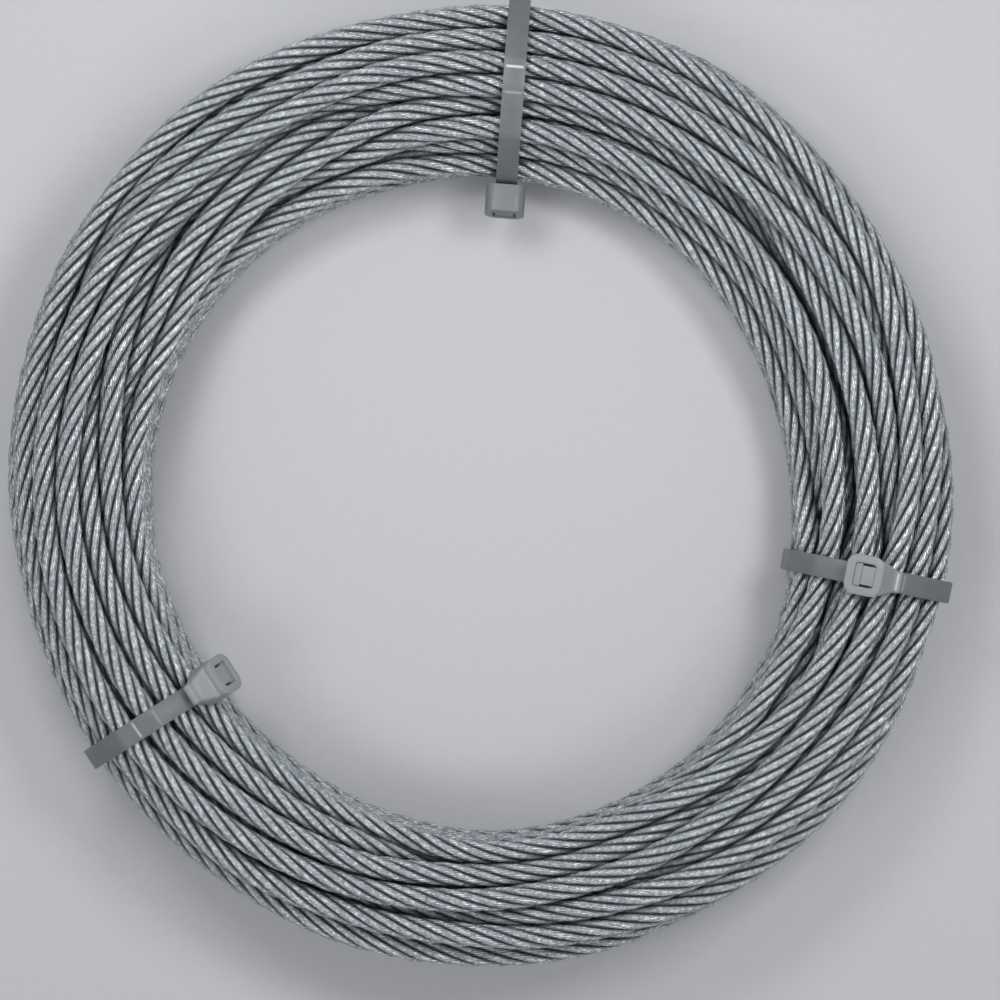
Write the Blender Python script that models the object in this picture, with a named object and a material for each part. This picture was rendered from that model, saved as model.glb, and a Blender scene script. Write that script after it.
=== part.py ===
"""A coil of 3 mm galvanised wire rope held by three nylon cable ties, lying flat.

Metres, +Z up, the coil's axis on Z and the undersides of the ties on Z = 0.
"""

import math

import bmesh
import bpy
from mathutils import Matrix

MM = 0.001

# The rope and the way its turns lie, bottom row first.
ROPE_D = 3.0 * MM
TURN_PITCH = 3.15 * MM
ROW_TURNS = (5, 6, 5, 6, 5, 5)
ROW_SHIFT = (0.0, 0.0, 0.0, 0.0, 0.0, 0.5)
COIL_OUTER_D = 117.8 * MM
TURN_STEPS = 56

# The cable ties: 2.5 mm wide, pulled snug and trimmed flush.
TIE_W = 2.5 * MM
TIE_T = 1.0 * MM
TIE_GAP = 0.3 * MM
TIE_ANGLES_DEG = (85.0, 215.0, 348.0)
TIE_HEAD_SIDES = ("bore", "bore", "top")
HEAD_W = 4.7 * MM
HEAD_L = 5.4 * MM
HEAD_H = 3.4 * MM
HEAD_BEVEL = 0.5 * MM
WINDOW_W = 3.1 * MM
WINDOW_L = 2.4 * MM
WINDOW_DEEP = 1.4 * MM
TAIL_W = 2.3 * MM

ROPE_R = ROPE_D / 2
ROW_RISE = math.sqrt(ROPE_D ** 2 - (TURN_PITCH / 2) ** 2)
BOTTOM_ROW_Z = TIE_T + TIE_GAP + ROPE_R
WIDEST_ROW = (max(ROW_TURNS) - 1) * TURN_PITCH
MEAN_R = COIL_OUTER_D / 2 - ROPE_R - WIDEST_ROW / 2


def clear_scene():
    for obj in list(bpy.data.objects):
        bpy.data.objects.remove(obj, do_unlink=True)


def material(name, colour, metallic, roughness):
    made = bpy.data.materials.new(name)
    made.use_nodes = True
    shader = made.node_tree.nodes["Principled BSDF"]
    shader.inputs["Base Color"].default_value = (*colour, 1.0)
    shader.inputs["Metallic"].default_value = metallic
    shader.inputs["Roughness"].default_value = roughness
    return made


def row_centres():
    """Where the turns cross a half plane through the axis, row by row, as (radius, height)."""
    rows = []
    for level, (turns, shift) in enumerate(zip(ROW_TURNS, ROW_SHIFT)):
        start = MEAN_R + (shift - (turns - 1) / 2) * TURN_PITCH
        height = BOTTOM_ROW_Z + level * ROW_RISE
        rows.append([(start + k * TURN_PITCH, height) for k in range(turns)])
    return rows


def outer_turns(rows):
    """The turns that show, in order: down the outside, in along the bottom, up the bore, out over the top."""
    outside = [row[-1] for row in reversed(rows)]
    bottom = list(reversed(rows[0]))[1:]
    bore = [row[0] for row in rows[1:]]
    top = rows[-1][1:-1]
    return outside + bottom + bore + top


def bearing(start, end):
    """The direction square to a step between two turns, on its outer side."""
    return math.atan2(end[1] - start[1], end[0] - start[0]) + math.pi / 2


def turned_between(first, last):
    """How far a direction turns from first to last, the short way."""
    return (last - first + math.pi) % (2 * math.pi) - math.pi


def coil_outline(turns):
    """The section's outline: three points on the crest of each turn and one in the valley after it."""
    points = []
    count = len(turns)
    for k, centre in enumerate(turns):
        before = bearing(turns[k - 1], centre)
        after = bearing(centre, turns[(k + 1) % count])
        middle = before + turned_between(before, after) / 2
        reach = turned_between(before, after) / 2
        spread = min(-math.radians(38), reach * 0.6 - math.radians(30))
        for turn in (-spread, 0.0, spread):
            points.append((centre[0] + ROPE_R * math.cos(middle + turn),
                           centre[1] + ROPE_R * math.sin(middle + turn)))
        following = turns[(k + 1) % count]
        points.append(((centre[0] + following[0]) / 2 + 0.32 * ROPE_R * math.cos(after),
                       (centre[1] + following[1]) / 2 + 0.32 * ROPE_R * math.sin(after)))
    return points


def make_coil(outline):
    mesh = bpy.data.meshes.new("rope_coil")
    form = bmesh.new()
    corners = [form.verts.new((r, 0.0, z)) for r, z in outline]
    for k, corner in enumerate(corners):
        form.edges.new((corner, corners[(k + 1) % len(corners)]))
    form.to_mesh(mesh)
    form.free()
    coil = bpy.data.objects.new("rope_coil", mesh)
    bpy.context.scene.collection.objects.link(coil)
    screw = coil.modifiers.new("turned about the axis", "SCREW")
    screw.axis = "Z"
    screw.steps = TURN_STEPS
    screw.render_steps = TURN_STEPS
    screw.use_merge_vertices = True
    screw.merge_threshold = 0.00001
    screw.use_smooth_shade = True
    mesh.materials.append(material("galvanised rope", (0.42, 0.44, 0.46), 1.0, 0.42))
    return coil


def hull_of(turns):
    """The turns that a taut strap bends round, anticlockwise seen with the bore on the left."""
    ordered = sorted(set(turns))
    sides = []
    for run in (ordered, ordered[::-1]):
        side = []
        for point in run:
            while len(side) > 1 and (
                (side[-1][0] - side[-2][0]) * (point[1] - side[-2][1])
                - (side[-1][1] - side[-2][1]) * (point[0] - side[-2][0])
            ) <= 1e-9:
                side.pop()
            side.append(point)
        sides += side[:-1]
    return sides


def strap_outline(hull, reach):
    """A taut band's face at this reach from the centres of the turns that it bends round."""
    points = []
    for k, centre in enumerate(hull):
        before = bearing(hull[k - 1], centre) - math.pi
        after = bearing(centre, hull[(k + 1) % len(hull)]) - math.pi
        swing = turned_between(before, after)
        steps = max(1, round(swing / math.radians(20)))
        for step in range(steps + 1):
            turn = before + swing * step / steps
            points.append((centre[0] + reach * math.cos(turn), centre[1] + reach * math.sin(turn)))
    return points


def add_strap(form, hull):
    inner = strap_outline(hull, ROPE_R + TIE_GAP)
    outer = strap_outline(hull, ROPE_R + TIE_GAP + TIE_T)
    rings = []
    for outline, side in ((inner, -1), (outer, -1), (outer, 1), (inner, 1)):
        rings.append([form.verts.new((r, side * TIE_W / 2, z)) for r, z in outline])
    for k in range(len(inner)):
        nxt = (k + 1) % len(inner)
        for ring in range(4):
            near, far = rings[ring], rings[(ring + 1) % 4]
            form.faces.new((near[k], near[nxt], far[nxt], far[k]))
    bmesh.ops.recalc_face_normals(form, faces=form.faces)


def block(name, size, centre, frame):
    """A box with its length along the strap, its width across and its height away from the coil."""
    mesh = bpy.data.meshes.new(name)
    form = bmesh.new()
    bmesh.ops.create_cube(form, size=1.0)
    bmesh.ops.scale(form, vec=size, verts=form.verts)
    form.to_mesh(mesh)
    form.free()
    made = bpy.data.objects.new(name, mesh)
    bpy.context.scene.collection.objects.link(made)
    made.matrix_world = frame @ Matrix.Translation(centre)
    return made


def head_frame(hull, side):
    """Where the head sits on the strap: X along the strap, Y across, Z away from the coil."""
    if side == "bore":
        inner = min(r for r, z in hull)
        held = [z for r, z in hull if r < inner + ROPE_R / 2]
        seat = (inner - ROPE_R - TIE_GAP, (min(held) + max(held)) / 2)
        along, away = (0.0, 1.0), (-1.0, 0.0)
    else:
        top = max(z for r, z in hull)
        held = [r for r, z in hull if z > top - ROPE_R / 2]
        seat = ((min(held) + max(held)) / 2, top + ROPE_R + TIE_GAP)
        along, away = (1.0, 0.0), (0.0, 1.0)
    across = (0.0, away[1] * along[0] - away[0] * along[1], 0.0)
    return Matrix((
        (along[0], across[0], away[0], seat[0]),
        (0.0, across[1], 0.0, 0.0),
        (along[1], across[2], away[1], seat[1]),
        (0.0, 0.0, 0.0, 1.0),
    ))


def join_to(tie, other, operation):
    other.hide_render = True
    other.display_type = "WIRE"
    boolean = tie.modifiers.new(other.name, "BOOLEAN")
    boolean.operation = operation
    boolean.solver = "EXACT"
    boolean.object = other


def make_tie(name, hull, side, angle_deg, nylon):
    mesh = bpy.data.meshes.new(name)
    form = bmesh.new()
    add_strap(form, hull)
    form.to_mesh(mesh)
    form.free()
    tie = bpy.data.objects.new(name, mesh)
    bpy.context.scene.collection.objects.link(tie)
    mesh.materials.append(nylon)
    turn = Matrix.Rotation(math.radians(angle_deg), 4, "Z")
    tie.matrix_world = turn
    frame = turn @ head_frame(hull, side)
    head = block(name + "_head", (HEAD_L, HEAD_W, HEAD_H), (0.0, 0.0, HEAD_H / 2), frame)
    bevel = head.modifiers.new("moulded edges", "BEVEL")
    bevel.width = HEAD_BEVEL
    bevel.segments = 2
    join_to(tie, head, "UNION")
    window = block(name + "_window", (WINDOW_L, WINDOW_W, WINDOW_DEEP),
                   (0.2 * MM, 0.0, HEAD_H - WINDOW_DEEP / 2 + 0.1 * MM), frame)
    join_to(tie, window, "DIFFERENCE")
    tail = block(name + "_tail", (TIE_T, TAIL_W, HEAD_H - 0.4 * MM),
                 (0.55 * MM, 0.0, HEAD_H / 2 + 0.35 * MM), frame)
    join_to(tie, tail, "UNION")
    return tie


clear_scene()
ROWS = row_centres()
make_coil(coil_outline(outer_turns(ROWS)))
HULL = hull_of([turn for row in ROWS for turn in row])
NYLON = material("natural nylon", (0.78, 0.80, 0.80), 0.0, 0.38)
for number, (angle, side) in enumerate(zip(TIE_ANGLES_DEG, TIE_HEAD_SIDES), start=1):
    make_tie(f"cable_tie_{number}", HULL, side, angle, NYLON)
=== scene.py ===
import math

import bmesh
import bpy
import numpy as np
from mathutils import Matrix, Vector


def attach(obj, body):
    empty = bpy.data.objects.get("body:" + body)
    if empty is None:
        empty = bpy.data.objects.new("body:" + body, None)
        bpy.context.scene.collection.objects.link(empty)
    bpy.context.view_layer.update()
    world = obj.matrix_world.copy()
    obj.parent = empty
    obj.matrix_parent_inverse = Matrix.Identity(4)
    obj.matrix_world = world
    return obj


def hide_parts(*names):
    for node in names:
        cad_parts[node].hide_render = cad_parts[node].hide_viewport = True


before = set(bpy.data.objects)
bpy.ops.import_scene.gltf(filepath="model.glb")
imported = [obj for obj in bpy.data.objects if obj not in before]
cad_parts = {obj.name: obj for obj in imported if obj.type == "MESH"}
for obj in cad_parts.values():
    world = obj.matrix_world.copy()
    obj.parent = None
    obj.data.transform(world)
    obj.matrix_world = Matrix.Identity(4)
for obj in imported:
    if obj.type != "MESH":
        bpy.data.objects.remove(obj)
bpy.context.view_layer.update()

# A coil of galvanised wire rope, tied with three small nylon cable ties. The camera hangs over it
# and looks straight down, as the photograph was taken: VIEW_WIDTH is what it takes in at VIEW_PLANE.
MM = 0.001
VIEW_CENTRE = (2.6 * MM, -1.9 * MM)
VIEW_HEIGHT = 400 * MM
VIEW_WIDTH = 125 * MM
VIEW_PLANE = 13 * MM

camera_data = bpy.data.cameras.new("camera")
camera_data.sensor_width = 36.0
camera_data.lens = 36.0 * (VIEW_HEIGHT - VIEW_PLANE) / VIEW_WIDTH
camera_data.clip_start = 10 * MM
camera = bpy.data.objects.new("camera", camera_data)
camera.location = (*VIEW_CENTRE, VIEW_HEIGHT)
bpy.context.scene.collection.objects.link(camera)
bpy.context.scene.camera = camera

# The coil is one length of 3 mm rope wound by hand into a flat ring. Its turns lie in loose
# layers: each keeps its place for part of a lap, then slides over or under its neighbours.
# The turns that show are laid where they lie, and the rest settle under them.
ROPE_D = 3.0
ROPE_R = ROPE_D / 2
TURNS = 32
STATION_DEG = 5.0
STATIONS = round(360 / STATION_DEG)
EIGHTH = 0.125
LIE_CENTRE = (-0.125, -0.875)
UNDERSIDE = 1.02

# The ring's bore and outside, in eighths of a millimetre from the lie's centre, every 10 degrees.
BORE_R = (314, 310, 308, 308, 310, 312, 313, 313, 314, 315, 316, 318, 321, 323, 326, 327, 328, 328,
          328, 327, 326, 326, 326, 326, 328, 332, 336, 341, 342, 341, 340, 338, 335, 330, 324, 319)
OUTSIDE_R = (472, 472, 472, 474, 477, 483, 489, 488, 486, 485, 481, 481, 482, 481, 480, 477, 473, 470,
             467, 461, 459, 459, 460, 461, 463, 466, 468, 470, 471, 472, 473, 475, 475, 473, 471, 471)

# Each turn that shows: the angle where it comes up, its radius every 10 degrees from there in eighths
# of a millimetre, and how far it lies below the crown at the angles named, in millimetres.
SHOWN = {
    "crown": (20, (434, 431, 430, 430, 428, 428, 428, 428, 427, 423, 420, 425, 430, 434, 435, 434, 433,
                   432, 430, 427, 423, 420, 417, 414, 411, 408, 406, 405, 404, 404, 405, 409, 414, 421,
                   428, 435, 443, 450, 456, 463, 469, 473, 475, 475, 472, 472, 471, 471, 468, 462, 459,
                   456, 452, 449, 446, 443, 441, 440, 440, 439, 438, 439, 445, 454, 461, 466, 469, 471, 472),
              {20: 3.0, 30: 1.0, 40: 0.3, 530: 0.2, 540: 0.4, 550: 0.9, 560: 1.4, 570: 1.7, 580: 1.5,
               590: 1.4, 600: 1.4, 610: 1.2, 620: 0.9, 630: 0.4, 670: 0.2, 680: 0.8, 690: 2.0, 700: 3.4}),
    "middle": (350, (416, 416, 415, 414, 410, 407, 405, 404, 404, 404, 404, 408, 412, 415, 412, 411, 409,
                     409, 409, 407, 405, 403, 400, 397, 393, 390, 387, 384, 382, 380, 381, 382, 384, 387),
               {350: 3.0, 360: 2.0, 370: 0.8, 380: 0.2, 450: 0.3, 460: 1.8, 470: 2.7, 480: 2.9, 490: 2.6,
                500: 1.8, 510: 0.5, 660: 0.4, 670: 1.4, 680: 3.0}),
    "wanderer": (40, (384, 387, 389, 390, 390, 390, 387, 377, 371, 364, 355, 348, 343, 340, 338, 336, 336,
                      337, 338, 340),
                 {40: 4.8, 50: 3.4, 60: 2.5, 70: 2.2, 80: 2.1, 90: 2.0, 100: 1.6, 110: 1.0, 120: 1.0,
                  130: 1.0, 140: 0.8, 150: 0.4, 190: 0.4, 200: 1.2, 210: 2.2, 220: 3.2, 230: 4.4}),
    "slider": (100, (404, 400, 394, 386, 378, 370, 365, 360, 355, 351, 350),
               {100: 4.4, 110: 3.0, 120: 2.2, 130: 1.9, 140: 1.6, 150: 1.2, 160: 0.9, 170: 1.2, 180: 1.8,
                190: 2.5, 200: 3.6}),
    "inner_second": (280, (345, 345, 347, 348, 347, 349, 353, 356, 357, 358, 360, 362, 364, 364, 364, 364,
                           365, 366, 364, 361, 358),
                     {280: 2.8, 290: 1.2, 300: 0.5, 460: 0.3, 470: 1.3, 480: 3.0}),
    "diver": (140, (404, 396, 383, 373, 368, 361, 355, 349, 344, 340, 338, 339, 342, 347, 353, 360, 367,
                    373, 379, 385, 388, 390, 390, 390, 391, 393, 397, 401, 404),
              {140: 3.4, 150: 1.8, 160: 0.8, 170: 0.3, 370: 0.2, 380: 0.7, 390: 1.4, 400: 2.1,
               410: 3.0, 420: 4.4}),
    "lower_left": (150, (408, 403, 397, 391, 384, 378, 373, 369, 367, 365, 364, 362, 362, 364, 366),
                   {150: 3.2, 160: 1.8, 170: 1.0, 180: 0.6, 190: 0.3, 260: 0.3, 270: 0.8, 280: 1.7,
                    290: 3.0}),
    "inner_low": (340, (344, 342, 341, 341, 342, 343, 344, 347),
                  {340: 4.0, 350: 3.0, 360: 2.6, 370: 2.5, 380: 2.5, 390: 2.5, 400: 2.8, 410: 3.6}),
    "upper_right": (40, (447, 447, 449, 451, 452, 452, 450, 447, 445, 443, 444, 446),
                    {40: 3.2, 50: 1.8, 60: 1.0, 70: 0.3, 130: 0.3, 140: 1.3, 150: 3.0}),
    "bore_edge": (50, (322, 320, 321, 322, 323, 324, 325, 326, 327, 330),
                  {50: 3.4, 60: 2.4, 70: 1.8, 80: 1.8, 90: 1.8, 100: 1.8, 110: 1.8, 120: 2.0, 130: 2.6,
                   140: 3.4}),
    "left_shoulder": (170, (466, 463, 458, 454, 451, 450, 453, 456, 458, 458, 460, 464, 468),
                      {170: 3.4, 180: 2.4, 190: 1.8, 200: 1.6, 210: 1.6, 220: 1.8, 230: 1.8, 240: 1.8,
                       250: 1.8, 260: 1.8, 270: 1.8, 280: 2.4, 290: 3.6}),
    "right_outer": (260, (425, 425, 426, 431, 438, 446, 451, 456, 460, 463, 466, 468, 470),
                    {260: 3.4, 270: 2.4, 280: 1.2, 290: 0.4, 350: 0.3, 360: 1.0, 370: 2.0, 380: 3.4}),
    "right_second": (290, (421, 422, 428, 431, 436, 441, 447, 452, 457, 463, 467, 471, 474),
                     {290: 3.2, 300: 1.2, 310: 0.3, 390: 0.8, 400: 2.0, 410: 3.4}),
}


def round_the_ring(values, deg):
    """A value given at even steps round the ring, read at any angle."""
    steps = len(values)
    place = np.asarray(deg, float) * steps / 360
    return np.interp(place % steps, np.arange(steps + 1), np.append(values, values[0]))


def true_radius(eighths, height):
    """A radius as the camera sees it, made true for something at this height."""
    return eighths * EIGHTH * (VIEW_HEIGHT / MM - height) / (VIEW_HEIGHT / MM - VIEW_PLANE / MM)


def bore_at(deg):
    """The bore's radius at an angle, true for the height where the pile reaches furthest in."""
    return true_radius(round_the_ring(BORE_R, deg), 5.0)


def outside_at(deg):
    """The outside's radius at an angle, true for the height where the pile reaches furthest out."""
    return true_radius(round_the_ring(OUTSIDE_R, deg), 9.0)


# The pile is domed: its crown lies a little outside the middle and falls to both edges. PACKING is
# how much more room the turns take than if they lay as close as they can.
PACKING = 1.09
CROWN_IN, CROWN_OUT = -0.05, 0.42
FALL_TO_BORE, FALL_TO_OUTSIDE = 3.6, 3.2
MEAN_FALL = 1.5


def crown_height(deg):
    """The pile's highest point, from the area of its turns and the ring's width there."""
    area = TURNS * ROPE_D ** 2 * math.sqrt(3) / 2 * PACKING
    return UNDERSIDE + area / (outside_at(deg) - bore_at(deg)) + MEAN_FALL


def top_at(deg, r):
    """The centre height of a turn that lies on top at this radius."""
    low, high = bore_at(deg) + ROPE_R, outside_at(deg) - ROPE_R
    across = np.clip(2 * (r - low) / (high - low) - 1, -1, 1)
    inward = np.clip((CROWN_IN - across) / (1 + CROWN_IN), 0, 1)
    outward = np.clip((across - CROWN_OUT) / (1 - CROWN_OUT), 0, 1)
    fall = FALL_TO_BORE * inward ** 1.3 + FALL_TO_OUTSIDE * outward ** 1.3
    return crown_height(deg) - ROPE_R - fall


def shown_place(name, angle):
    """A shown turn's radius and centre height at an angle counted from its first lap, or None."""
    start, radii, depths = SHOWN[name]
    place = (angle - start) / 10
    if not -1e-6 <= place <= len(radii) - 1 + 1e-6:
        return None
    steps = np.arange(len(radii))
    seen = np.interp(place, steps, radii)
    depth = np.interp(place, steps, [depths.get(start + 10 * k, 0.0) for k in range(len(radii))])
    height = top_at(angle % 360, true_radius(seen, 13.0)) - depth
    return true_radius(seen, height), height


def shown_here(deg):
    """Every shown turn at an angle: {(name, lap): (radius, height)}."""
    found = {}
    for name in SHOWN:
        for lap in (0, 1):
            place = shown_place(name, deg + 360 * lap)
            if place is not None:
                found[name, lap] = place
    return found


# Pressed turns bed into each other's hollows a little, so they may lie this near.
NESTED_D = 2.95


def push_apart(places, share):
    """Moves turns that overlap at a station away from each other. places: stations, turns, 2."""
    apart = places[:, :, None] - places[:, None]
    distance = np.sqrt((apart ** 2).sum(-1)) + np.eye(places.shape[1]) * 1e6
    overlap = np.clip(NESTED_D - distance, 0, None)
    return places + (apart * (overlap / distance)[..., None]).sum(2) * share


def keep_inside(places, low, high):
    """Presses turns back between the bore and the outside, and keeps them off the floor."""
    r = places[..., 0]
    r = np.where(r < low, r + 0.45 * (low - r), r)
    r = np.where(r > high, r - 0.45 * (r - high), r)
    return np.stack([r, np.maximum(places[..., 1], UNDERSIDE + ROPE_R)], -1)


def settle_station(places, deg, wanted, rounds):
    """Lets the turns of one station find room round the ones that show."""
    low, high = bore_at(deg) + ROPE_R, outside_at(deg) - ROPE_R
    shown = ~np.isnan(wanted[:, 0])
    for _ in range(rounds):
        places = push_apart(places[None], 0.42)[0]
        places[~shown, 1] -= 0.02
        places[~shown, 0] += ((low + high) / 2 - places[~shown, 0]) * 0.003
        lid = top_at(deg, places[:, 0]) - 2.0
        buried = ~shown & (places[:, 1] > lid)
        places[buried, 1] -= 0.15 * (places[buried, 1] - lid[buried])
        places[shown] += (wanted[shown] - places[shown]) * 0.25
        places = keep_inside(places, low, high)
    return places


def first_station():
    """The turns at the start of the lap: those that show, and the rest in rows beneath them."""
    here = shown_here(0.0)
    top = np.array(list(here.values()))
    order = np.argsort(top[:, 0])
    low, high = bore_at(0) + ROPE_R, outside_at(0) - ROPE_R
    spots = []
    for row in range(8):
        height = UNDERSIDE + ROPE_R + row * ROPE_D * 0.87
        start = low + 0.4 + (row % 2) * ROPE_R
        spots += [(r, height) for r in np.arange(start, high, ROPE_D * 1.02)]
    spots = np.array(spots)
    spots = spots[spots[:, 1] < crown_height(0) - ROPE_R]
    clear = np.sqrt(((spots[:, None] - top[None]) ** 2).sum(-1)).min(1)
    above = spots[:, 1] > np.interp(spots[:, 0], top[order, 0], top[order, 1]) - 0.5
    chosen = np.argsort(3.0 * above - clear, kind="stable")[:TURNS - len(top)]
    places = np.vstack([top, spots[chosen]])
    wanted = np.full_like(places, np.nan)
    wanted[:len(top)] = top
    return settle_station(places, 0.0, wanted, 400), list(here) + [None] * (TURNS - len(top))


def lay_one_lap():
    """Follows every turn round the ring, station by station, with the shown ones led to their places."""
    places, names = first_station()
    lap, labels = [places.copy()], [list(names)]
    for station in range(1, STATIONS + 1):
        deg = station * STATION_DEG
        here = shown_here(deg)
        names = [name if name in here else None for name in names]
        for name, place in here.items():
            if name in names or name[1] == 1:
                continue
            gaps = [np.hypot(*(places[k] - place)) if names[k] is None else np.inf for k in range(TURNS)]
            names[int(np.argmin(gaps))] = name
        wanted = np.array([here[name] if name else (np.nan, np.nan) for name in names])
        places = settle_station(places.copy(), deg % 360, wanted, 80)
        lap.append(places.copy())
        labels.append(list(names))
    return np.array(lap), labels


def join_laps(lap, labels):
    """Which turn each turn runs on into: the shown ones by name, the rest to the nearest place."""
    begins = {name: k for k, name in enumerate(labels[0]) if name}
    onward = {}
    for k, name in enumerate(labels[-1]):
        if name and (name[0], name[1] + 1) in begins:
            onward[k] = begins[name[0], name[1] + 1]
    ends = [k for k in range(TURNS) if k not in onward]
    starts = [k for k in range(TURNS) if k not in onward.values()]
    cost = ((lap[-1][ends][:, None] - lap[0][starts][None]) ** 2).sum(-1)
    pick = list(range(len(ends)))
    changed = True
    while changed:
        changed = False
        for a in range(len(ends)):
            for b in range(a + 1, len(ends)):
                if cost[a, pick[b]] + cost[b, pick[a]] < cost[a, pick[a]] + cost[b, pick[b]] - 1e-9:
                    pick[a], pick[b] = pick[b], pick[a]
                    changed = True
    onward.update({k: starts[pick[a]] for a, k in enumerate(ends)})
    return [onward[k] for k in range(TURNS)]


def loops_of(onward):
    """The closed loops that the turns would make."""
    left, loops = set(range(TURNS)), []
    while left:
        k, loop = min(left), []
        while k in left:
            left.discard(k)
            loop.append(k)
            k = onward[k]
        loops.append(loop)
    return loops


# How many stations half a crossing takes, and how many the last of a lap has to meet the next in.
CROSSING_STATIONS = 5
BLEND_STATIONS = 20


def smooth_step(t):
    """Runs from 0 to 1 and starts and ends level."""
    return t * t * (3 - 2 * t)


def cross_over(lap, labels, onward, a, b, middle):
    """Lets two neighbouring turns change places, one over the other, and run on as each other."""
    for station in range(middle - CROSSING_STATIONS, middle + CROSSING_STATIONS + 1):
        turned = math.pi * smooth_step((station - middle + CROSSING_STATIONS) / (2 * CROSSING_STATIONS))
        centre = (lap[station, a] + lap[station, b]) / 2
        arm = (lap[station, b] - lap[station, a]) / 2
        swing = np.array([arm[0] * math.cos(turned) - arm[1] * math.sin(turned),
                          arm[0] * math.sin(turned) + arm[1] * math.cos(turned)])
        lap[station, a], lap[station, b] = centre - swing, centre + swing
    for station in range(middle + CROSSING_STATIONS + 1, STATIONS + 1):
        lap[station, [a, b]] = lap[station, [b, a]]
        labels[station][a], labels[station][b] = labels[station][b], labels[station][a]
    onward[a], onward[b] = onward[b], onward[a]


def make_one_rope(lap, labels):
    """Joins the laps end to end, and adds crossings low in the pile until the loops are one rope."""
    onward = join_laps(lap, labels)
    end, start = lap[-1].copy(), lap[0][onward]
    for station in range(STATIONS - BLEND_STATIONS, STATIONS + 1):
        share = smooth_step((station - STATIONS + BLEND_STATIONS) / BLEND_STATIONS)
        lap[station] += share * (start - end)
    while len(loops_of(onward)) > 1:
        loop_of = np.empty(TURNS, int)
        for number, loop in enumerate(loops_of(onward)):
            loop_of[loop] = number
        gap = np.sqrt(((lap[:, :, None] - lap[:, None]) ** 2).sum(-1))
        high = np.maximum(lap[:, :, None, 1], lap[:, None, :, 1])
        seen = np.array([[name is not None for name in row] for row in labels])
        seen = (seen[:, :, None] | seen[:, None]).astype(float)
        cost = gap + 0.12 * high + 50 * seen + np.where(loop_of[:, None] == loop_of[None], np.inf, 0)
        span = 2 * CROSSING_STATIONS + 1
        whole = np.max([cost[k:k + STATIONS + 1 - span] for k in range(span)], axis=0)
        station, a, b = np.unravel_index(np.argmin(whole), whole.shape)
        cross_over(lap, labels, onward, a, b, station + CROSSING_STATIONS)
    return onward


def follow(lap, labels, onward):
    """The turns in the order that the rope takes them, from an end that lies low outside."""
    order = loops_of(onward)[0]
    hidden = [q for q, k in enumerate(order) if labels[0][k] is None]
    first = min(hidden, key=lambda q: lap[0, order[q], 1] - 0.35 * lap[0, order[q], 0])
    order = order[first:] + order[:first]
    route = np.concatenate([lap[:STATIONS, k] for k in order])
    wanted = np.full_like(route, np.nan)
    for q, k in enumerate(order):
        for station in range(STATIONS):
            name = labels[station][k]
            if name:
                angle = station * STATION_DEG + 360 * name[1]
                wanted[q * STATIONS + station] = shown_place(name[0], angle)
    return route, wanted


def relax(route, wanted, rounds, weight, hold, stiffness, shake):
    """Settles the whole rope: turns part where they overlap, sink, and bend as little as they can."""
    deg = np.tile(np.arange(STATIONS) * STATION_DEG, TURNS)
    low, high = bore_at(deg) + ROPE_R, outside_at(deg) - ROPE_R
    shown = ~np.isnan(wanted[:, 0])
    share = np.where(shown, 0.30, 0.46).reshape(TURNS, STATIONS).T[..., None]
    luck = np.random.default_rng(3)
    for round_number in range(rounds):
        if shake and round_number % 20 == 0:
            jolts = luck.normal(0, shake * (1 - round_number / rounds), (len(route) // 12 + 2, 2))
            at = np.arange(len(route)) / 12
            knots = np.arange(len(jolts))
            jolt = np.column_stack([np.interp(at, knots, jolts[:, axis]) for axis in (0, 1)])
            route = route + jolt * (~shown)[:, None]
        grid = route.reshape(TURNS, STATIONS, 2).transpose(1, 0, 2)
        route = push_apart(grid, share).transpose(1, 0, 2).reshape(-1, 2)
        curl = np.zeros_like(route)
        curl[1:-1] = route[2:] + route[:-2] - 2 * route[1:-1]
        bend = np.zeros_like(route)
        bend[1:-1] = curl[2:] + curl[:-2] - 2 * curl[1:-1]
        route = route + stiffness * (0.25 * curl - 0.05 * bend)
        route[~shown, 1] -= weight
        route[shown] += (wanted[shown] - route[shown]) * hold
        lid = top_at(deg, route[:, 0]) - 2.5
        buried = ~shown & (route[:, 1] > lid)
        route[buried, 1] -= 0.10 * (route[buried, 1] - lid[buried])
        route = keep_inside(route, low, high)
    return route


# The rope is shaken down, then let lie, then let take its own bend: the rounds of each, the weight,
# how firmly the shown turns are held in radius and height, the rope's stiffness, and the shake.
SETTLING = (
    (900, 0.012, (0.10, 0.10), 0.6, 0.5),
    (500, 0.010, (0.10, 0.10), 0.5, 0),
    (500, 0.004, (0.06, 0.05), 0.15, 0),
)
lap, labels = lay_one_lap()
onward = make_one_rope(lap, labels)
route, wanted = follow(lap, labels, onward)
for rounds, weight, hold, stiffness, shake in SETTLING:
    route = relax(route, wanted, rounds, weight, hold, stiffness, shake)


def smooth_route(route, per_station):
    """A smooth curve through the stations, in millimetres, with a count of points to each station."""
    t = np.arange(len(route))
    padded = np.vstack([2 * route[0] - route[1], route, 2 * route[-1] - route[-2]])
    fine = np.linspace(0, len(route) - 1, (len(route) - 1) * per_station + 1)
    k = np.minimum(fine.astype(int), len(route) - 2)
    f = (fine - k)[:, None]
    p0, p1, p2, p3 = (padded[k + n] for n in range(4))
    rz = 0.5 * (2 * p1 + (p2 - p0) * f + (2 * p0 - 5 * p1 + 4 * p2 - p3) * f ** 2
                + (3 * p1 - p0 - 3 * p2 + p3) * f ** 3)
    angle = np.radians(fine * STATION_DEG)
    return np.column_stack([LIE_CENTRE[0] + rz[:, 0] * np.cos(angle),
                            LIE_CENTRE[1] + rz[:, 0] * np.sin(angle), rz[:, 1]])


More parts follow.
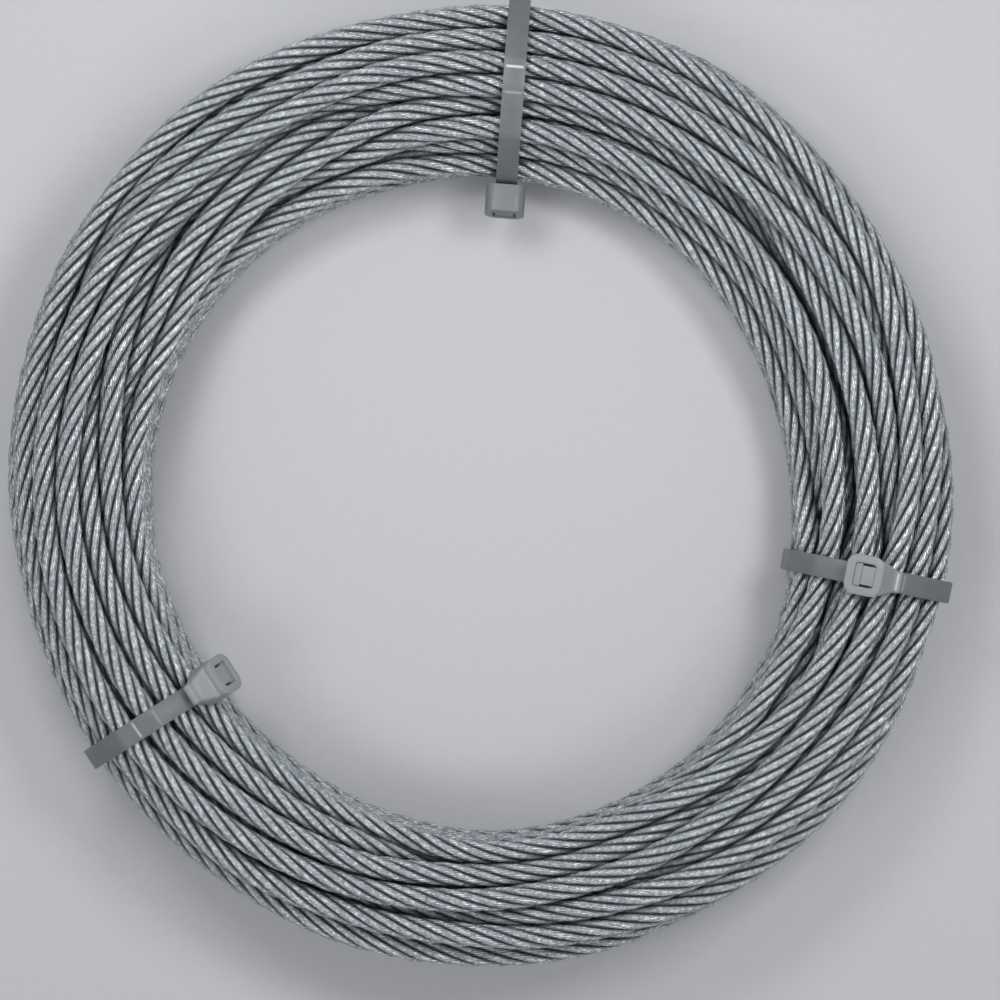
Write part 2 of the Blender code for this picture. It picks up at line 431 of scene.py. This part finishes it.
centreline = smooth_route(route, 6)
along = np.concatenate([[0.0], np.cumsum(np.linalg.norm(np.diff(centreline, axis=0), axis=1))])
ROPE_LENGTH = along[-1]

# Six strands are laid right-handed round a seventh, one turn of a strand to 6.9 rope diameters.
# Each is twelve wires round seven, drawn and hot-dip galvanised, with the wires laid the other way.
# The strands are modelled, and their wires are in the finish.
STRAND_R = 0.505
STRAND_OFFSET = 1.0
STRAND_SIDES = 8
LAY = 6.9 * ROPE_D
RINGS_PER_LAY = 14
CORE_R = 0.5
CORE_SIDES = 6
CORE_STEP = 4.0
WIRE_LAY = 8.6
WIRES_IN_STRAND = 12.0


def even_points(step):
    """The centreline at even steps, with the way it runs, its outward side and its upper side."""
    count = int(round(ROPE_LENGTH / step)) + 1
    at = np.linspace(0, ROPE_LENGTH, count)
    points = np.column_stack([np.interp(at, along, centreline[:, axis]) for axis in range(3)])
    ahead = np.gradient(points, axis=0)
    ahead /= np.linalg.norm(ahead, axis=1)[:, None]
    outward = points - np.array([*LIE_CENTRE, 0.0])
    outward[:, 2] = 0.0
    outward -= (outward * ahead).sum(1)[:, None] * ahead
    outward /= np.linalg.norm(outward, axis=1)[:, None]
    upward = np.cross(ahead, outward)
    return at, points, ahead, outward, upward


def tube(name, at, middle, ahead, side, radius, sides, wire_turns):
    """A closed tube along points, with its length and its way round kept in a UV map."""
    other = np.cross(ahead, side)
    around = np.arange(sides) * 2 * np.pi / sides
    ring = np.cos(around)[:, None] * side[:, None] + np.sin(around)[:, None] * other[:, None]
    verts = (middle[:, None] + radius * ring) * MM
    count = len(middle)
    index = np.arange(count * sides).reshape(count, sides)
    near, far = index[:-1], index[1:]
    quads = np.stack([near, np.roll(near, -1, 1), np.roll(far, -1, 1), far], -1).reshape(-1, 4)
    caps = [list(index[0][::-1]), list(index[-1])]
    mesh = bpy.data.meshes.new(name)
    mesh.vertices.add(count * sides)
    mesh.vertices.foreach_set("co", verts.reshape(-1))
    loops = np.concatenate([quads.reshape(-1)] + [np.array(cap) for cap in caps])
    mesh.loops.add(len(loops))
    mesh.loops.foreach_set("vertex_index", loops)
    sizes = np.concatenate([np.full(len(quads), 4), [sides, sides]])
    mesh.polygons.add(len(sizes))
    mesh.polygons.foreach_set("loop_start", np.concatenate([[0], np.cumsum(sizes)[:-1]]))
    mesh.update(calc_edges=True)
    smooth = np.ones(len(sizes), bool)
    smooth[-2:] = False
    mesh.polygons.foreach_set("use_smooth", smooth)
    u = at / wire_turns
    v = np.arange(sides + 1) / sides
    k = np.arange(sides)
    uv = np.empty((count - 1, sides, 4, 2))
    uv[:, :, 0, 0] = uv[:, :, 1, 0] = u[:-1, None]
    uv[:, :, 2, 0] = uv[:, :, 3, 0] = u[1:, None]
    uv[:, :, 0, 1] = uv[:, :, 3, 1] = v[k][None]
    uv[:, :, 1, 1] = uv[:, :, 2, 1] = v[k + 1][None]
    flat = np.zeros((len(loops), 2))
    flat[:uv.size // 2] = uv.reshape(-1, 2)
    layer = mesh.uv_layers.new(name="lay")
    layer.data.foreach_set("uv", flat.astype(np.float32).reshape(-1))
    made = bpy.data.objects.new(name, mesh)
    bpy.context.scene.collection.objects.link(made)
    return made


def note_nestling(piece):
    """Keeps at every point of a strand how near the next turn's surface comes, in millimetres."""
    count = len(piece.data.vertices)
    place = np.empty(count * 3)
    piece.data.vertices.foreach_get("co", place)
    place = place.reshape(-1, 3) / MM - (*LIE_CENTRE, 0)
    station = np.degrees(np.arctan2(place[:, 1], place[:, 0])) % 360 / STATION_DEG
    before = station.astype(int)[:, None] % STATIONS + np.arange(TURNS) * STATIONS
    share = (station % 1)[:, None, None]
    centres = route[before] * (1 - share) + route[np.minimum(before + 1, len(route) - 1)] * share
    own = np.stack([np.hypot(place[:, 0], place[:, 1]), place[:, 2]], 1)
    far = np.linalg.norm(centres - own[:, None], axis=2)
    nearest_other = np.partition(far, 1, axis=1)[:, 1] - ROPE_R
    piece.data.attributes.new("room_beside", "FLOAT", "POINT").data.foreach_set(
        "value", nearest_other.astype(np.float32))


def strand(number):
    """One outer strand: a tube that winds right-handed round the rope's centreline."""
    at, middle, ahead, outward, upward = even_points(LAY / RINGS_PER_LAY)
    turn = 2 * np.pi * (at / LAY + number / 6)
    arm = np.cos(turn)[:, None] * outward + np.sin(turn)[:, None] * upward
    centre = middle + STRAND_OFFSET * arm
    heading = np.gradient(centre, axis=0)
    heading /= np.linalg.norm(heading, axis=1)[:, None]
    side = arm - (arm * heading).sum(1)[:, None] * heading
    side /= np.linalg.norm(side, axis=1)[:, None]
    return tube(f"strand_{number + 1}", at, centre, heading, side, STRAND_R, STRAND_SIDES, WIRE_LAY)


strands = [strand(number) for number in range(6)]
at, middle, ahead, outward, upward = even_points(CORE_STEP)
core = tube("core_strand", at, middle, ahead, outward, CORE_R, CORE_SIDES, WIRE_LAY)
for piece in (*strands, core):
    note_nestling(piece)


def work_out(tree, operation, *values):
    """A sum in a material, on numbers and on what other nodes put out."""
    node = tree.nodes.new("ShaderNodeMath")
    node.operation = operation
    for socket, value in zip(node.inputs, values):
        if isinstance(value, (int, float)):
            socket.default_value = value
        else:
            tree.links.new(value, socket)
    return node.outputs[0]


def spread(tree, value, low, high, to_low=0.0, to_high=1.0, eased=False):
    """Lays the range of a value onto another range, evenly or easing in and out."""
    node = tree.nodes.new("ShaderNodeMapRange")
    if eased:
        node.interpolation_type = "SMOOTHSTEP"
    for name, number in (("From Min", low), ("From Max", high), ("To Min", to_low), ("To Max", to_high)):
        node.inputs[name].default_value = number
    tree.links.new(value, node.inputs["Value"])
    return node.outputs["Result"]


def blend(tree, factor, first, second):
    """Mixes two colours, each given or put out by another node."""
    node = tree.nodes.new("ShaderNodeMix")
    node.data_type = "RGBA"
    tree.links.new(factor, node.inputs["Factor"])
    for name, value in (("A", first), ("B", second)):
        if isinstance(value, tuple):
            node.inputs[name].default_value = (*value, 1.0)
        else:
            tree.links.new(value, node.inputs[name])
    return node.outputs["Result"]


def speckle(tree, scale, detail):
    """An uneven tone that keeps its place on the piece."""
    coords = tree.nodes.new("ShaderNodeTexCoord")
    noise = tree.nodes.new("ShaderNodeTexNoise")
    noise.inputs["Scale"].default_value = scale
    noise.inputs["Detail"].default_value = detail
    tree.links.new(coords.outputs["Object"], noise.inputs["Vector"])
    return noise.outputs["Fac"]


def noted(tree, name):
    """A value that the mesh keeps at each of its points."""
    node = tree.nodes.new("ShaderNodeAttribute")
    node.attribute_name = name
    return node.outputs["Fac"]


def relief(tree, height, strength, depth, over=None):
    """Fine relief of a depth in millimetres, over another relief where one is given."""
    node = tree.nodes.new("ShaderNodeBump")
    node.inputs["Strength"].default_value = strength
    node.inputs["Distance"].default_value = depth * MM
    tree.links.new(height, node.inputs["Height"])
    if over is not None:
        tree.links.new(over, node.inputs["Normal"])
    return node.outputs["Normal"]


def laid_wires():
    """Round wires side by side on a strand, read from its UV map: their height and gaps, how far each
    stretch of wire catches the light, and the valleys where the strand meets its neighbours."""
    group = bpy.data.node_groups.new("laid wires", "ShaderNodeTree")
    for name in ("Wires", "Glints per lay"):
        group.interface.new_socket(name, in_out="INPUT", socket_type="NodeSocketFloat")
    for name in ("Height", "Gap", "Glint", "Valley"):
        group.interface.new_socket(name, in_out="OUTPUT", socket_type="NodeSocketFloat")
    nodes, links = group.nodes, group.links
    inputs = nodes.new("NodeGroupInput")
    outputs = nodes.new("NodeGroupOutput")
    place = nodes.new("ShaderNodeUVMap")
    place.uv_map = "lay"
    split = nodes.new("ShaderNodeSeparateXYZ")
    links.new(place.outputs["UV"], split.inputs[0])

    lengthways, around = split.outputs["X"], split.outputs["Y"]
    count = work_out(group, "ADD", lengthways, around)
    count = work_out(group, "MULTIPLY", count, inputs.outputs["Wires"])
    doubled = work_out(group, "MULTIPLY", work_out(group, "FRACT", count), 2.0)
    across = work_out(group, "SUBTRACT", doubled, 1.0)
    squared = work_out(group, "MULTIPLY", across, across)
    round_top = work_out(group, "SQRT", work_out(group, "SUBTRACT", 1.0, squared))
    links.new(round_top, outputs.inputs["Height"])
    links.new(work_out(group, "POWER", squared, 2.0), outputs.inputs["Gap"])

    stretches = nodes.new("ShaderNodeTexNoise")
    stretches.noise_dimensions = "2D"
    stretches.inputs["Scale"].default_value = 1.0
    stretches.inputs["Detail"].default_value = 1.0
    spot = nodes.new("ShaderNodeCombineXYZ")
    links.new(work_out(group, "MULTIPLY", lengthways, inputs.outputs["Glints per lay"]), spot.inputs["X"])
    links.new(work_out(group, "MULTIPLY", work_out(group, "FLOOR", count), 7.3), spot.inputs["Y"])
    links.new(spot.outputs[0], stretches.inputs["Vector"])
    links.new(stretches.outputs["Fac"], outputs.inputs["Glint"])

    facing = work_out(group, "COSINE", work_out(group, "MULTIPLY", around, 2 * math.pi))
    links.new(spread(group, facing, 0.82, 0.05, eased=True), outputs.inputs["Valley"])
    return group


DULL_ZINC = (0.375, 0.41, 0.435)
CLEAN_ZINC = (0.58, 0.622, 0.65)
# Painted highlight: the near-white tone of stretches of wire that glint.
PAINTED_GLINT_ZINC = (0.80, 0.84, 0.865)
# Painted shade: the dark tone in the gaps between wires.
WIRE_GAP_SHADE = (0.12, 0.136, 0.148)
# Painted shade: the dark tone of the valleys between strands.
STRAND_VALLEY_SHADE = (0.15, 0.166, 0.180)
# Painted shade: the darkest tone, where two turns lie close together.
TURN_GROOVE_SHADE = (0.045, 0.051, 0.057)


def galvanised_wire():
    """Hot-dipped zinc on drawn wire: grey and dull, with painted highlights where stretches of wire would
    catch the light, painted shade between wires and strands, and the darkest painted shade where two turns
    press together."""
    made = bpy.data.materials.new("galvanised wire")
    made.use_nodes = True
    tree = made.node_tree
    shader = tree.nodes["Principled BSDF"]
    shader.inputs["Metallic"].default_value = 1.0
    wires = tree.nodes.new("ShaderNodeGroup")
    wires.node_tree = laid_wires()
    wires.inputs["Wires"].default_value = WIRES_IN_STRAND
    wires.inputs["Glints per lay"].default_value = 14.0
    glint = wires.outputs["Glint"]
    grains = speckle(tree, 2400.0, 2.0)

    tone = blend(tree, spread(tree, grains, 0.35, 0.65), DULL_ZINC, CLEAN_ZINC)
    # Painted highlight: stretches of wire brightened in colour as glints, where they also get smoother.
    tone = blend(tree, spread(tree, glint, 0.48, 0.66), tone, PAINTED_GLINT_ZINC)
    # Painted shade in the gaps between neighbouring wires.
    tone = blend(tree, spread(tree, wires.outputs["Gap"], 0.0, 1.0, 0.0, 0.70), tone, WIRE_GAP_SHADE)
    # Painted shade in the valleys where each strand meets its neighbours.
    tone = blend(tree, wires.outputs["Valley"], tone, STRAND_VALLEY_SHADE)
    # Painted shade, darkest where the next turn's surface comes within a fraction of a millimetre.
    shade_between_turns = spread(tree, noted(tree, "room_beside"), 0.75, 0.15, 0.0, 0.80)
    tone = blend(tree, shade_between_turns, tone, TURN_GROOVE_SHADE)
    tree.links.new(tone, shader.inputs["Base Color"])
    tree.links.new(spread(tree, glint, 0.35, 0.70, 0.50, 0.32), shader.inputs["Roughness"])
    rounded = relief(tree, wires.outputs["Height"], 1.0, 0.1)
    pitted = relief(tree, grains, 0.6, 0.05, over=rounded)
    tree.links.new(pitted, shader.inputs["Normal"])
    return made


wire_finish = galvanised_wire()
for piece in (*strands, core):
    piece.data.materials.append(wire_finish)
    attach(piece, "root")
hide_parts("rope_coil")

# Three small cable ties of natural nylon are pulled round the pile. Each strap follows the turns that
# it holds, goes through the window of its own moulded head, and is cut off short there.
STRAP_W = 2.7
STRAP_T = 1.0
STRAP_CLEAR = 0.02
HEAD_L, HEAD_W, HEAD_H = 4.6, 5.0, 3.4
# Each tie: the angle where it goes round and how far it is turned there, where its head sits on the pile's
# section, which way the neck points from the head, how far the head stands off, the radii of the two places
# where its strap bends over the turns and a highlight line is painted, how bright those painted highlights
# are, and how cloudy its mouldings are, which on the first tie, whose head hangs in the pile's shadow, is
# set low to paint shade.
TIES = (
    {"node": "cable_tie_1", "at": 85.0, "turned": 0.7, "seat": 180.0, "onward": 1, "lift": 1.4,
     "highlight_radii": (52.9, 49.7), "highlight_strength": 1.0, "milk_and_shade": 0.25},
    {"node": "cable_tie_2", "at": 215.0, "turned": -2.3, "seat": 150.0, "onward": -1, "lift": 0.3,
     "highlight_radii": (51.1, 48.2), "highlight_strength": 0.55, "milk_and_shade": 1.0},
    {"node": "cable_tie_3", "at": 347.8, "turned": 0.5, "seat": 99.0, "onward": -1, "lift": -0.3,
     "highlight_radii": (52.85, 53.75), "highlight_strength": 0.75, "milk_and_shade": 0.9},
)


def turns_at(deg):
    """The centres of all the turns in the section at an angle."""
    grid = route.reshape(TURNS, STATIONS, 2)
    station = int(deg / STATION_DEG)
    share = deg / STATION_DEG - station
    return grid[:, station] * (1 - share) + grid[:, (station + 1) % STATIONS] * share


def left_of(a, b, c):
    """Positive where c lies to the left of the line from a to b."""
    return (b[0] - a[0]) * (c[1] - a[1]) - (b[1] - a[1]) * (c[0] - a[0])


def tight_outline(centres, reach):
    """The line that a strap takes round the turns, at a distance from their centres."""
    ordered = sorted(map(tuple, centres))
    sides = []
    for run in (ordered, ordered[::-1]):
        side = []
        for point in run:
            while len(side) > 1 and left_of(side[-2], side[-1], point) <= 0:
                side.pop()
            side.append(point)
        sides += side[:-1]
    outline = []
    for before, here, after in zip(sides[-1:] + sides[:-1], sides, sides[1:] + sides[:1]):
        first = math.atan2(here[1] - before[1], here[0] - before[0]) - math.pi / 2
        last = math.atan2(after[1] - here[1], after[0] - here[0]) - math.pi / 2
        turn = (last - first) % (2 * math.pi)
        steps = max(1, math.ceil(turn / math.radians(12)))
        outline += [(here[0] + reach * math.cos(first + turn * k / steps),
                     here[1] + reach * math.sin(first + turn * k / steps)) for k in range(steps + 1)]
    return np.array(outline)


# A head lies along the straight between the points of its strap within this reach of it.
HEAD_REACH = 3.2


def strap_run(tie):
    """The strap's middle line, from its head round the turns and back, with the head's seat and tilt."""
    centres = turns_at(tie["at"])
    outline = tight_outline(centres, ROPE_R + STRAP_CLEAR + STRAP_T / 2)
    middle = (outline.min(0) + outline.max(0)) / 2
    bearing = np.arctan2(outline[:, 1] - middle[1], outline[:, 0] - middle[0])
    away = (bearing - math.radians(tie["seat"])) % (2 * math.pi)
    order = np.argsort(away)
    outline, away = outline[order], away[order]
    share = (2 * math.pi - away[-1]) / (2 * math.pi - away[-1] + away[0])
    seat = outline[-1] * (1 - share) + outline[0] * share
    run = np.vstack([seat, outline, seat])
    near = run[np.linalg.norm(run - seat, axis=1) < HEAD_REACH]
    ahead = ((near - seat) * (run[1] - seat)).sum(1)
    chord = near[np.argmax(ahead)] - near[np.argmin(ahead)]
    tilt = math.atan2(-chord[0], chord[1])
    if tie["onward"] < 0:
        run = run[::-1]
    return run, seat, tilt


def pick_faces(wanted):
    """Selects the faces of the piece in hand that answer to their centre and normal."""
    bpy.ops.mesh.select_mode(type="FACE")
    bpy.ops.mesh.select_all(action="DESELECT")
    form = bmesh.from_edit_mesh(bpy.context.object.data)
    for face in form.faces:
        face.select_set(bool(wanted(face.calc_center_median() / MM, face.normal)))
    bmesh.update_edit_mesh(bpy.context.object.data)


def pick_edges(wanted):
    """Selects the edges of the piece in hand that answer to their middle and direction."""
    bpy.ops.mesh.select_mode(type="EDGE")
    bpy.ops.mesh.select_all(action="DESELECT")
    form = bmesh.from_edit_mesh(bpy.context.object.data)
    for edge in form.edges:
        a, b = (vert.co for vert in edge.verts)
        edge.select_set(bool(wanted((a + b) / 2 / MM, (b - a).normalized())))
    bmesh.update_edit_mesh(bpy.context.object.data)


def make_strap(run):
    """A flat strap, pushed out piece by piece along its run and turned to follow it."""
    bpy.ops.object.select_all(action="DESELECT")
    bpy.ops.mesh.primitive_plane_add(size=MM, location=(0, 0, 0))
    bpy.ops.object.mode_set(mode="EDIT")
    bpy.ops.mesh.select_all(action="SELECT")
    bpy.ops.transform.resize(value=(STRAP_T, STRAP_W, 1.0), center_override=(0, 0, 0))
    ahead = np.diff(run, axis=0)
    ahead /= np.linalg.norm(ahead, axis=1)[:, None]
    heading = np.unwrap(np.arctan2(ahead[:, 1], ahead[:, 0]))
    heading = np.concatenate([heading[:1], (heading[1:] + heading[:-1]) / 2, heading[-1:]])
    start = (run[0][0] * MM, 0, run[0][1] * MM)
    bpy.ops.transform.translate(value=start)
    bpy.ops.transform.rotate(value=heading[0] - math.pi / 2, orient_axis="Y", center_override=start)
    for k in range(1, len(run)):
        step = (run[k] - run[k - 1]) * MM
        bpy.ops.mesh.extrude_region_move(TRANSFORM_OT_translate={"value": (step[0], 0, step[1])})
        place = (run[k][0] * MM, 0, run[k][1] * MM)
        bpy.ops.transform.rotate(value=heading[k] - heading[k - 1], orient_axis="Y", center_override=place)
    bpy.ops.mesh.select_all(action="SELECT")
    bpy.ops.mesh.normals_make_consistent(inside=False)
    bpy.ops.object.mode_set(mode="OBJECT")
    strap = bpy.context.object
    rounding = strap.modifiers.new("rolled edges", "BEVEL")
    rounding.width = 0.2 * MM
    rounding.segments = 2
    rounding.limit_method = "ANGLE"
    rounding.angle_limit = math.radians(50)
    bpy.ops.object.modifier_apply(modifier=rounding.name)
    return strap


def make_head():
    """The moulded head, lying flat: x along the strap towards the neck, z away from the pile."""
    bpy.ops.object.select_all(action="DESELECT")
    bpy.ops.mesh.primitive_cube_add(size=MM, location=(0, 0, HEAD_H / 2 * MM),
                                    scale=(HEAD_L, HEAD_W, HEAD_H))
    bpy.ops.object.transform_apply(location=True, rotation=True, scale=True)
    bpy.ops.object.mode_set(mode="EDIT")
    pick_edges(lambda middle, along: abs(along.z) > 0.9)
    bpy.ops.mesh.bevel(offset=1.35 * MM, segments=6)
    pick_faces(lambda centre, normal: normal.z > 0.95)
    bpy.ops.mesh.inset(thickness=0.45 * MM, depth=0.0)
    bpy.ops.transform.translate(value=(0, 0, 0.16 * MM))
    bpy.ops.mesh.inset(thickness=0.50 * MM, depth=0.0)
    bpy.ops.mesh.inset(thickness=0.08 * MM, depth=-0.06 * MM)
    bpy.ops.mesh.extrude_region_move(TRANSFORM_OT_translate={"value": (0, 0, -1.4 * MM)})
    bpy.ops.object.mode_set(mode="OBJECT")
    return bpy.context.object


# The neck's steps towards the strap: how long each is, and how much it narrows and thins.
NECK_STEPS = ((0.6, 1.0, 1.0), (0.5, 0.88, 0.84), (0.5, 0.85, 0.70), (0.6, 0.88, 0.70), (0.8, 0.98, 0.86))


def make_neck():
    """The moulding between head and strap, which narrows and thins from one to the other."""
    place = HEAD_L / 2 - 0.6
    bpy.ops.object.select_all(action="DESELECT")
    bpy.ops.mesh.primitive_cube_add(size=MM, location=((place - 0.5) * MM, 0, 1.45 * MM),
                                    scale=(1.0, HEAD_W - 0.7, 2.8))
    bpy.ops.object.transform_apply(location=True, rotation=True, scale=True)
    bpy.ops.object.mode_set(mode="EDIT")
    for step, across, thin in NECK_STEPS:
        pick_faces(lambda centre, normal: normal.x > 0.9 and centre.x > place - 0.01)
        place += step
        bpy.ops.mesh.extrude_region_move(TRANSFORM_OT_translate={"value": (step * MM, 0, 0)})
        bpy.ops.transform.resize(value=(1, across, thin), center_override=(place * MM, 0, 0.05 * MM))
    bpy.ops.object.mode_set(mode="OBJECT")
    return bpy.context.object


# The cut end of the strap and the pawl that bites it: length, width, top, place and the top's slope.
LATCH_FLOOR = 1.4
LATCH = (
    (1.60, 2.36, 3.40, 0.48, 0.0),
    (1.00, 2.88, 3.30, -0.84, 0.10),
)


def make_latch():
    """What is seen in the head's window: the strap's cut end and the pawl."""
    pieces = []
    for length, width, top, x, slope in LATCH:
        bpy.ops.object.select_all(action="DESELECT")
        bpy.ops.mesh.primitive_cube_add(size=MM, location=(x * MM, 0, (LATCH_FLOOR + top) / 2 * MM),
                                        scale=(length, width, top - LATCH_FLOOR))
        bpy.ops.object.transform_apply(location=True, rotation=True, scale=True)
        bpy.ops.object.mode_set(mode="EDIT")
        pick_edges(lambda middle, along: middle.z > top - 0.1 and middle.x < x - 0.3)
        bpy.ops.transform.translate(value=(0, 0, -slope * MM))
        bpy.ops.object.mode_set(mode="OBJECT")
        pieces.append(bpy.context.object)
    return pieces


def round_off(piece, width):
    """Rounds every sharp edge of a moulding."""
    rounding = piece.modifiers.new("moulded edges", "BEVEL")
    rounding.width = width * MM
    rounding.segments = 4
    rounding.limit_method = "ANGLE"
    rounding.angle_limit = math.radians(28)
    bpy.context.view_layer.objects.active = piece
    bpy.ops.object.modifier_apply(modifier=rounding.name)


def own_copy(piece):
    """A copy with its own mesh."""
    made = piece.copy()
    made.data = piece.data.copy()
    bpy.context.scene.collection.objects.link(made)
    return made


def keep_values(piece, name, values):
    """Keeps a value at each point of a piece's mesh."""
    layer = piece.data.attributes.new(name, "FLOAT", "POINT")
    layer.data.foreach_set("value", np.asarray(values, np.float32))


def head_frame(tie, seat, tilt):
    """Where a tie's mouldings go: x towards the neck, z away from the pile."""
    outward = Vector((math.cos(tilt), 0, math.sin(tilt)))
    from_pile = Vector((seat[0], 0, seat[1])) - Vector(PILE_MIDDLE)
    if from_pile.dot(outward) < 0:
        outward = -outward
    toward_neck = Vector((-outward.z, 0, outward.x)) * tie["onward"]
    across = outward.cross(toward_neck)
    frame_there = Matrix((toward_neck, across, outward)).transposed().to_4x4()
    lifted = Vector((seat[0], 0, seat[1])) + outward * (tie["lift"] - STRAP_T / 2)
    frame_there.translation = lifted * MM
    return frame_there


# A section of the pile has its middle about here: how far out, along the ring, and how high.
PILE_MIDDLE = (50.0, 0, 9.0)
mouldings = [make_head(), make_neck(), *make_latch()]
for piece, width in zip(mouldings, (0.34, 0.40, 0.08, 0.08)):
    round_off(piece, width)


def make_tie(tie):
    """One whole tie, in its place round the pile."""
    run, seat, tilt = strap_run(tie)
    strap = make_strap(run)
    moulded = [own_copy(piece) for piece in mouldings]
    for piece in (strap, *moulded):
        count = len(piece.data.vertices)
        # Each moulding's cloudiness. On the first tie it is set low, which paints shade on the head.
        keep_values(piece, "milk_and_shade", np.full(count, 0.0 if piece is strap else tie["milk_and_shade"]))
        # How bright the painted highlights on this tie are, and how far each point lies from the strap's
        # middle.
        keep_values(piece, "highlight_strength", np.full(count, tie["highlight_strength"]))
        keep_values(piece, "across", [vert.co.y / MM for vert in piece.data.vertices])
    for piece in moulded:
        piece.matrix_world = head_frame(tie, seat, tilt)
    bpy.ops.object.select_all(action="DESELECT")
    for piece in (*moulded, strap):
        piece.select_set(True)
    bpy.context.view_layer.objects.active = strap
    bpy.ops.object.join()
    whole = bpy.context.object
    whole.name = tie["node"].replace("cable_tie", "nylon_tie")
    middle = Vector((PILE_MIDDLE[0] * MM, 0, 0))
    whole.matrix_world = (Matrix.Translation(Vector((LIE_CENTRE[0] * MM, LIE_CENTRE[1] * MM, 0)))
                          @ Matrix.Rotation(math.radians(tie["at"]), 4, "Z")
                          @ Matrix.Translation(middle)
                          @ Matrix.Rotation(math.radians(tie["turned"]), 4, "Z")
                          @ Matrix.Translation(-middle))
    bpy.ops.object.transform_apply(location=True, rotation=True, scale=True)
    bpy.ops.object.shade_smooth_by_angle(angle=math.radians(40))
    reach = np.array([math.hypot(vert.co.x / MM - LIE_CENTRE[0], vert.co.y / MM - LIE_CENTRE[1])
                      for vert in whole.data.vertices])
    # Distances from the two radii where highlight lines are painted across the strap.
    for name, highlight_radius in zip(("first_highlight", "second_highlight"), tie["highlight_radii"]):
        keep_values(whole, name, reach - highlight_radius)
    return whole


THIN_NYLON = (0.19, 0.205, 0.215)
THICK_NYLON = (0.42, 0.445, 0.455)
# Painted highlight: the white of the lines where a strap bends over the turns.
BEND_HIGHLIGHT_NYLON = (1.0, 1.0, 1.0)


def natural_nylon():
    """Undyed nylon: cloudy white and half clear, paler where the moulding is cloudier, with painted
    highlight lines across the strap where it bends over the turns, and painted shade on the first tie's
    head.
    """
    made = bpy.data.materials.new("natural nylon")
    made.use_nodes = True
    tree = made.node_tree
    shader = tree.nodes["Principled BSDF"]
    shader.inputs["IOR"].default_value = 1.53
    shader.inputs["Subsurface Weight"].default_value = 0.35
    shader.inputs["Subsurface Radius"].default_value = (1.0, 1.0, 1.0)
    shader.inputs["Subsurface Scale"].default_value = 0.8 * MM
    shader.inputs["Transmission Weight"].default_value = 0.35
    grain = speckle(tree, 4000.0, 2.0)

    # Cloudier nylon is paler, and a low value paints shade.
    bulk = work_out(tree, "MULTIPLY_ADD", speckle(tree, 350.0, 3.0), 0.30, noted(tree, "milk_and_shade"))
    tone = blend(tree, bulk, THIN_NYLON, THICK_NYLON)
    # Painted highlights: white lines across the middle of the strap where it bends over the turns, standing
    # in for the lamps' reflection there.
    off_middle = work_out(tree, "ABSOLUTE", noted(tree, "across"))
    inside_edges = spread(tree, off_middle, 1.25, 0.85, eased=True)
    highlight_across = work_out(tree, "MULTIPLY", inside_edges, noted(tree, "highlight_strength"))
    for name, strength in (("first_highlight", 0.95), ("second_highlight", 0.30)):
        distance = work_out(tree, "ABSOLUTE", noted(tree, name))
        line = spread(tree, distance, 0.24, 0.06, 0.0, strength, eased=True)
        tone = blend(tree, work_out(tree, "MULTIPLY", line, highlight_across), tone, BEND_HIGHLIGHT_NYLON)
    tree.links.new(tone, shader.inputs["Base Color"])
    tree.links.new(spread(tree, grain, 0.0, 1.0, 0.36, 0.52), shader.inputs["Roughness"])
    tree.links.new(relief(tree, grain, 0.25, 0.02), shader.inputs["Normal"])
    return made


nylon = natural_nylon()
for tie in TIES:
    whole = make_tie(tie)
    whole.data.materials.clear()
    whole.data.materials.append(nylon)
    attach(whole, "root")
    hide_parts(tie["node"])
for piece in mouldings:
    bpy.data.objects.remove(piece)

# The floor is one sheet of pale matt card, with the slight unevenness that card has. The coil lies
# on it loose, and its shadow falls on it.
FLOOR_SIZE = 3.0
DULL_CARD = (0.5432, 0.548, 0.5626)
CLEAN_CARD = (0.5768, 0.582, 0.5974)
bpy.ops.object.select_all(action="DESELECT")
bpy.ops.mesh.primitive_plane_add(size=FLOOR_SIZE, location=(0, 0, 0))
floor = bpy.context.object
floor.name = "floor"
card = bpy.data.materials.new("pale card")
card.use_nodes = True
card_shader = card.node_tree.nodes["Principled BSDF"]
card_shader.inputs["Roughness"].default_value = 0.75
card_tone = blend(card.node_tree, speckle(card.node_tree, 900.0, 4.0), DULL_CARD, CLEAN_CARD)
card.node_tree.links.new(card_tone, card_shader.inputs["Base Color"])
floor.data.materials.append(card)

# The light is that of a white room with four soft lamps over the coil, two near ones above in the
# picture and two farther ones below. A lamp has a name, a size, a power and a place, and faces the coil.
world = bpy.data.worlds.new("room")
bpy.context.scene.world = world
world.use_nodes = True
world.node_tree.nodes["Background"].inputs["Color"].default_value = (0.86, 0.88, 0.92, 1.0)
world.node_tree.nodes["Background"].inputs["Strength"].default_value = 0.36
LAMPS = (
    ("upper left", (0.084, 0.055), 0.132, (-0.0605, 0.0915, 0.180)),
    ("right", (0.087, 0.063), 0.190, (0.113, 0.072, 0.2206)),
    ("lower left", (0.22, 0.15), 0.330, (-0.215, -0.140, 0.382)),
    ("lower right", (0.20, 0.14), 0.250, (0.140, -0.199, 0.390)),
)
for name, size, power, place in LAMPS:
    lamp = bpy.data.lights.new(name, "AREA")
    lamp.shape = "RECTANGLE"
    lamp.size, lamp.size_y = size
    lamp.energy = power
    light = bpy.data.objects.new(name, lamp)
    light.location = place
    light.rotation_euler = (-Vector(place)).to_track_quat("-Z", "Y").to_euler()
    bpy.context.scene.collection.objects.link(light)
bpy.context.scene.view_settings.view_transform = "Standard"
